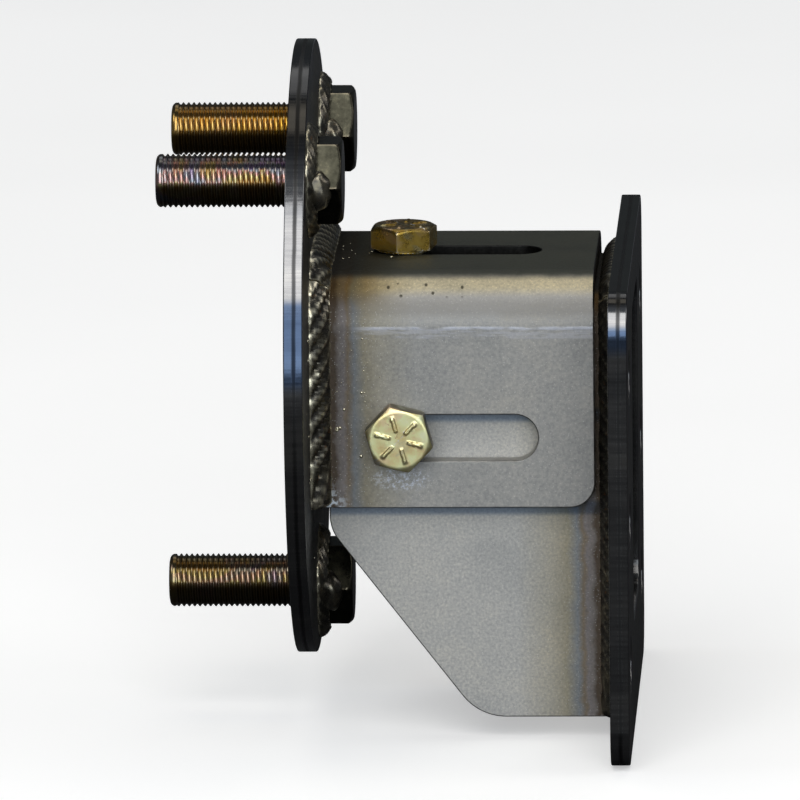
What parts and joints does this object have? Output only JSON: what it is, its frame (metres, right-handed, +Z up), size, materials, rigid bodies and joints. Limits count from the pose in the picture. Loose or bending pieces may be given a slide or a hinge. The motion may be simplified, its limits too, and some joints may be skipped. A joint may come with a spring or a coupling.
{
  "type": "spare tire carrier",
  "caption": "Adjustable spare tire carrier: a round wheel plate with threaded studs on a slotted sleeve, clamped by bolts to a channel welded to a base plate.",
  "frame": {"origin": "centre of the base plate's mounting face", "axes": "+X out of the mounting face towards what holds the carrier, so the wheel plate is towards -X; +Z up; -Y is the near side"},
  "size_m": [0.1114, 0.146, 0.1617],
  "materials": {
    "dark_plate": "dark hot-rolled mill scale with bright laser-cut edges",
    "pickled_steel": "pickled and oiled sheet, satin, with heat tint beside the welds",
    "weld": "dark rippled weld metal",
    "yellow_zinc": "yellow zinc plate, satin",
    "dark_zinc": "dark olive to gold zinc plate, satin"
  },
  "bodies": {
    "base_bracket": {"base_plate": "dark_plate", "inner_channel": "pickled_steel", "base_weld_near": "weld", "base_weld_top": "weld", "base_weld_far": "weld", "nut_near": "yellow_zinc", "nut_top": "yellow_zinc", "nut_far": "yellow_zinc"},
    "clamp_bolt_near": {"clamp_bolt_near": "yellow_zinc"},
    "clamp_bolt_top": {"clamp_bolt_top": "yellow_zinc"},
    "clamp_bolt_far": {"clamp_bolt_far": "yellow_zinc"},
    "wheel_carriage": {"wheel_plate": "dark_plate", "outer_sleeve": "pickled_steel", "sleeve_weld_near": "weld", "sleeve_weld_top": "weld", "sleeve_weld_far": "weld", "wheel_stud_near": "dark_zinc", "wheel_stud_far": "dark_zinc", "wheel_stud_lower": "dark_zinc", "stud_weld_near": "weld", "stud_weld_far": "weld", "stud_weld_lower": "weld"}
  },
  "joints": [
    {"name": "extend", "type": "slide", "parent": "base_bracket", "child": "wheel_carriage", "axis": [-1, 0, 0], "range_m": [0, 0.027]},
    {"name": "turn_bolt_near", "type": "hinge", "parent": "base_bracket", "child": "clamp_bolt_near", "pos_m": [-0.05465, 0, 0.01725], "axis": [0, -1, 0], "range_deg": [0, 360]},
    {"name": "turn_bolt_top", "type": "hinge", "parent": "base_bracket", "child": "clamp_bolt_top", "pos_m": [-0.05465, 0, 0], "axis": [0, 0, 1], "range_deg": [0, 360]},
    {"name": "turn_bolt_far", "type": "hinge", "parent": "base_bracket", "child": "clamp_bolt_far", "pos_m": [-0.05465, 0, 0.01725], "axis": [0, 1, 0], "range_deg": [0, 360]}
  ]
}
